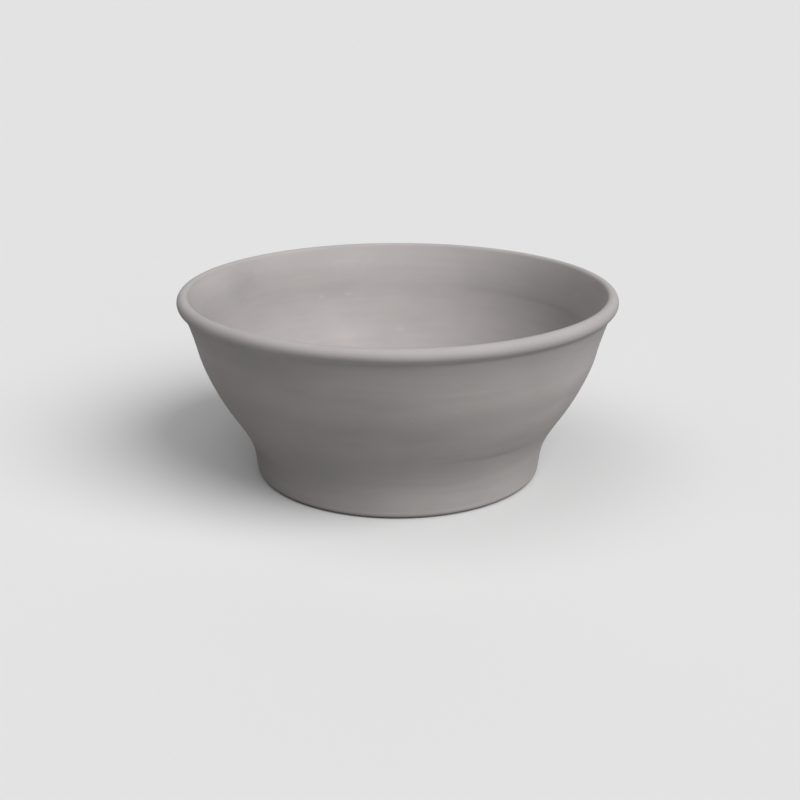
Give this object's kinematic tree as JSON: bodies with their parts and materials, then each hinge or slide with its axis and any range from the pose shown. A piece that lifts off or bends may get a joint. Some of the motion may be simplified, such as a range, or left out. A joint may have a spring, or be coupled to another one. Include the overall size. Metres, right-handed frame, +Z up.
{
  "type": "bowl planter",
  "caption": "Round fired clay bowl planter with a rolled lip, a waist above its foot, a drain hole with a lift-out rubber plug, and rubber floor pads.",
  "frame": {"origin": "on the floor, under the middle of the bowl, level with the undersides of the floor pads", "axes": "+Z up along the axis that the bowl is turned about; the floor pads lie on the diagonals between X and Y"},
  "size_m": [0.457, 0.457, 0.1964],
  "materials": {
    "clay": "unglazed, fired, matte, warm grey",
    "plug_rubber": "moulded, matte black",
    "pad_rubber": "die-cut sheet, matte dark grey"
  },
  "bodies": {
    "bowl": {"bowl": "clay", "floor_pad_1": "pad_rubber", "floor_pad_2": "pad_rubber", "floor_pad_3": "pad_rubber", "floor_pad_4": "pad_rubber"},
    "plug": {"drain_plug": "plug_rubber"}
  },
  "joints": [
    {"name": "plug_lift", "type": "slide", "parent": "bowl", "child": "plug", "axis": [0, 0, 1], "range_m": [0, 0.2]}
  ]
}
